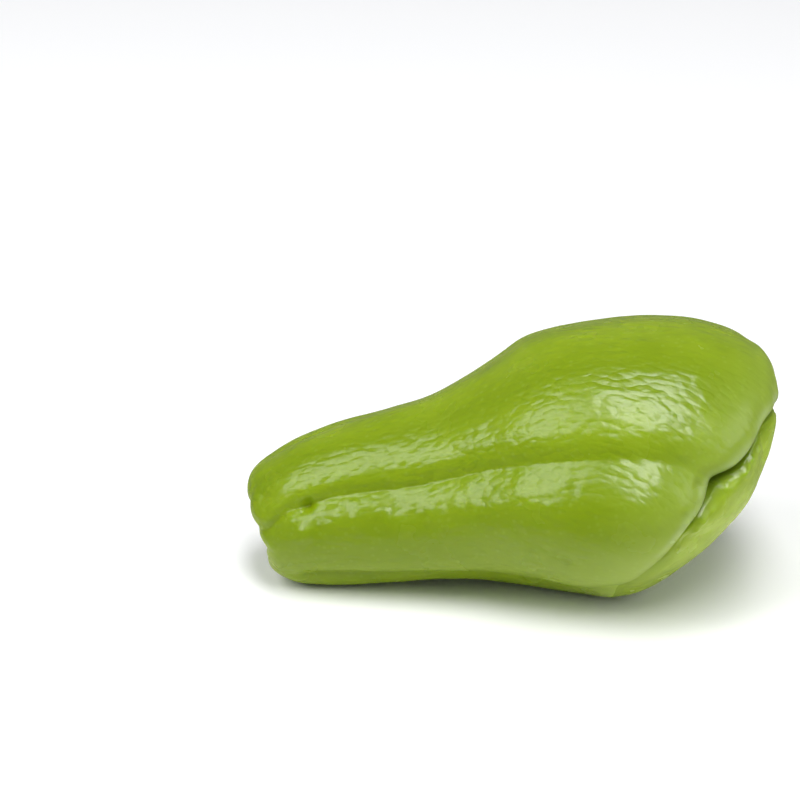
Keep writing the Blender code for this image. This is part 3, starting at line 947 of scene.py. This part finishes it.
# The next six colours are painted light: shade on the sides, in the furrows and in the mouth, a
# reflection by the mouth, light over the chin and a highlight on the rim.
SIDE_SHADE_GREEN = (0.170, 0.254, 0.001, 1.0)
FURROW_SHADE_GREEN = (0.185, 0.276, 0.001, 1.0)
NEAR_MOUTH_SHEEN_GREEN = (0.268, 0.362, 0.048, 1.0)
MOUTH_SHADE_GREEN = (0.090, 0.160, 0.010, 1.0)
CHIN_LIT_GREEN = (0.335, 0.455, 0.045, 1.0)
RIM_HIGHLIGHT_GREEN = (0.400, 0.490, 0.200, 1.0)
FLECK = (0.420, 0.560, 0.120, 1.0)
CORK = (0.210, 0.150, 0.060, 1.0)

CHIN_PATCH_LEAST, CHIN_PATCH_MORE = 0.38, 0.6
NEAR_MOUTH_SHARE = 0.8
RIM_HIGHLIGHT_SHARE = 0.85
FLECK_SHARE = 0.08
print("from", GREEN[:3], "to", PALE_GREEN[:3])

# %% The skin's material
skin_look = bpy.data.materials.new("chayote_green_skin")
skin_look.use_nodes = True
tree = skin_look.node_tree
shader = tree.nodes["Principled BSDF"]
body_mottle = place_group(tree, mottle, "place", Patch=0.07, Fleck=0.42)
chin_mottle = place_group(tree, mottle, "place", Patch=0.17)
chin_patch = ramp(tree, chin_mottle["Patches"], 0.36, 0.62)
chin_patch = math_node(tree, "MULTIPLY", chin_patch, CHIN_PATCH_MORE)
chin_patch = math_node(tree, "ADD", chin_patch, CHIN_PATCH_LEAST)

# Each step lays a colour over what came before, as far as its amount goes.
colour = colour_step(tree, ramp(tree, body_mottle["Patches"], 0.36, 0.66), GREEN, PALE_GREEN)
# Most steps paint light: shade on the sides, in the furrows and in the mouth, light on the chin, a
# reflection by the mouth and a highlight on the rim.
for amount, share, over in (
    (attribute(tree, "chin"), chin_patch, CHIN_LIT_GREEN),
    (attribute(tree, "side"), 1.0, SIDE_SHADE_GREEN),
    (attribute(tree, "furrow"), 1.0, FURROW_SHADE_GREEN),
    (attribute(tree, "near_mouth"), NEAR_MOUTH_SHARE, NEAR_MOUTH_SHEEN_GREEN),
    (attribute(tree, "rim"), RIM_HIGHLIGHT_SHARE, RIM_HIGHLIGHT_GREEN),
    (body_mottle["Flecks"], FLECK_SHARE, FLECK),
    (attribute(tree, "mouth"), 1.0, MOUTH_SHADE_GREEN),
    (attribute(tree, "scar"), 1.0, CORK),
):
    colour = colour_step(tree, math_node(tree, "MULTIPLY", amount, share), colour, over)
link(tree, colour, shader.inputs["Base Color"])
print("colour steps done")

# %% The skin's gloss and grain
LEAST_ROUGH, MOTTLE_ROUGH, SCAR_ROUGH = 0.22, 0.08, 0.4
GRAIN_HEIGHT = 0.00024

grain_out = place_group(tree, grain, "grown", Cells=0.55, Strokes=0.55, Pores=1.3, Pore_Share=0.12)
bump = tree.nodes.new("ShaderNodeBump")
bump.inputs["Strength"].default_value = 1.0
bump.inputs["Distance"].default_value = GRAIN_HEIGHT
grain_height = math_node(tree, "MULTIPLY", grain_out["Height"], attribute(tree, "wrinkled"))
link(tree, grain_height, bump.inputs["Height"])
link(tree, bump.outputs["Normal"], shader.inputs["Normal"])
dulled = math_node(tree, "MULTIPLY", ramp(tree, body_mottle["Patches"], 0.2, 0.8), MOTTLE_ROUGH)
scar_dulled = math_node(tree, "MULTIPLY", attribute(tree, "scar"), SCAR_ROUGH)
roughness = math_node(tree, "ADD", math_node(tree, "ADD", dulled, LEAST_ROUGH), scar_dulled)
link(tree, roughness, shader.inputs["Roughness"])
shader.inputs["Specular IOR Level"].default_value = 0.42
shader.inputs["Subsurface Weight"].default_value = 1.0
shader.inputs["Subsurface Radius"].default_value = (0.8, 1.0, 0.2)
shader.inputs["Subsurface Scale"].default_value = 0.0015
fruit_mesh.materials.append(skin_look)
print("materials on the fruit:", [m.name for m in fruit_mesh.materials])

# %% [markdown]
# ## Floor, light and camera
# The fruit lies on a plain pale floor. The photograph's light is one broad soft source above and
# in front, so here one long area light hangs there. Two weaker ones shape the left and the right
# end, and a faint white world fills the rest. The camera has a long lens and looks down 25 degrees.
#
# The floor has to look white, but a wide white floor would also be mirrored all over the lower
# skin and make it grey. So a glossy ray finds the floor yellowish close to the fruit and dim away
# from it, while the camera and the soft light see it pale.

# %% The floor
# The mirrored floor turns from close to dim between two shares of an oval round the fruit.
PALE_FLOOR = (0.97, 0.97, 0.98, 1.0)
CLOSE_FLOOR = (0.93, 0.94, 0.62, 1.0)
DIM_FLOOR = (0.28, 0.30, 0.17, 1.0)
OVAL_HALF_LENGTH, OVAL_HALF_WIDTH = 0.125, 0.080
OVAL_START, OVAL_END = 0.6, 1.05

floor_mesh = bpy.data.meshes.new("floor")
floor_mesh.from_pydata([(-3, -3, 0), (3, -3, 0), (3, 3, 0), (-3, 3, 0)], [], [(0, 1, 2, 3)])
floor = bpy.data.objects.new("floor", floor_mesh)
bpy.context.collection.objects.link(floor)
floor_look = bpy.data.materials.new("pale_floor")
floor_look.use_nodes = True
floor_shader = floor_look.node_tree.nodes["Principled BSDF"]
floor_tree = floor_look.node_tree
spot = floor_tree.nodes.new("ShaderNodeNewGeometry")
spread = floor_tree.nodes.new("ShaderNodeMapping")
spread.inputs["Scale"].default_value = (1 / OVAL_HALF_LENGTH, 1 / OVAL_HALF_WIDTH, 0.0)
link(floor_tree, spot.outputs["Position"], spread.inputs["Vector"])
away = floor_tree.nodes.new("ShaderNodeVectorMath")
away.operation = "LENGTH"
link(floor_tree, spread.outputs["Vector"], away.inputs[0])
rays = floor_tree.nodes.new("ShaderNodeLightPath")
far_off = ramp(floor_tree, away.outputs["Value"], OVAL_START, OVAL_END)
mirrored = colour_step(floor_tree, far_off, CLOSE_FLOOR, DIM_FLOOR)
floor_colour = colour_step(floor_tree, rays.outputs["Is Glossy Ray"], PALE_FLOOR, mirrored)
link(floor_tree, floor_colour, floor_shader.inputs["Base Color"])
floor_shader.inputs["Roughness"].default_value = 0.6
floor_mesh.materials.append(floor_look)
print("floor:", floor.name, "in", floor_look.name)


# %% Lights and world
def soft_light(name, place, size, watts, aim=(0.0, 0.0, 0.04)):
    """A rectangular area light that faces a point of the fruit."""
    lamp = bpy.data.lights.new(name, "AREA")
    lamp.shape = "RECTANGLE"
    lamp.size, lamp.size_y = size
    lamp.energy = watts
    holder = bpy.data.objects.new(name, lamp)
    holder.location = place
    holder.rotation_euler = (Vector(aim) - Vector(place)).to_track_quat("-Z", "Y").to_euler()
    bpy.context.collection.objects.link(holder)
    return holder


soft_light("overhead_light", (0.12, -0.52, 1.51), (0.50, 1.35), 22.0)
soft_light("left_light", (-1.02, -0.50, 1.20), (0.90, 1.25), 16.0)
soft_light("right_light", (1.19, -0.52, 0.75), (1.00, 1.00), 5.5)
world = bpy.data.worlds.new("white_room")
world.use_nodes = True
room = world.node_tree.nodes["Background"]
room.inputs["Color"].default_value = (0.95, 0.98, 1.0, 1.0)
room.inputs["Strength"].default_value = 0.20
bpy.context.scene.world = world
bpy.context.scene.view_settings.view_transform = "Standard"

# %% The camera
# The fruit sits to the right of the picture's middle, so the camera aims at its neck.
ELEVATION = math.radians(25.0)
DISTANCE = 0.933
TARGET = Vector((-31.35, 20.46, 43.89)) * MM - Vector(skin_origin) * MM
camera = bpy.data.objects.new("camera", bpy.data.cameras.new("camera"))
camera.data.lens = 150.0
camera.data.sensor_width = 36.0
camera.data.clip_start = 0.01
back = Vector((0.0, -math.cos(ELEVATION), math.sin(ELEVATION)))
camera.location = TARGET + back * DISTANCE
camera.rotation_euler = (-back).to_track_quat("-Z", "Y").to_euler()
bpy.context.collection.objects.link(camera)
bpy.context.scene.camera = camera
print("camera at", [round(v, 3) for v in camera.location])

# %% Update the scene and finish
bpy.context.view_layer.update()
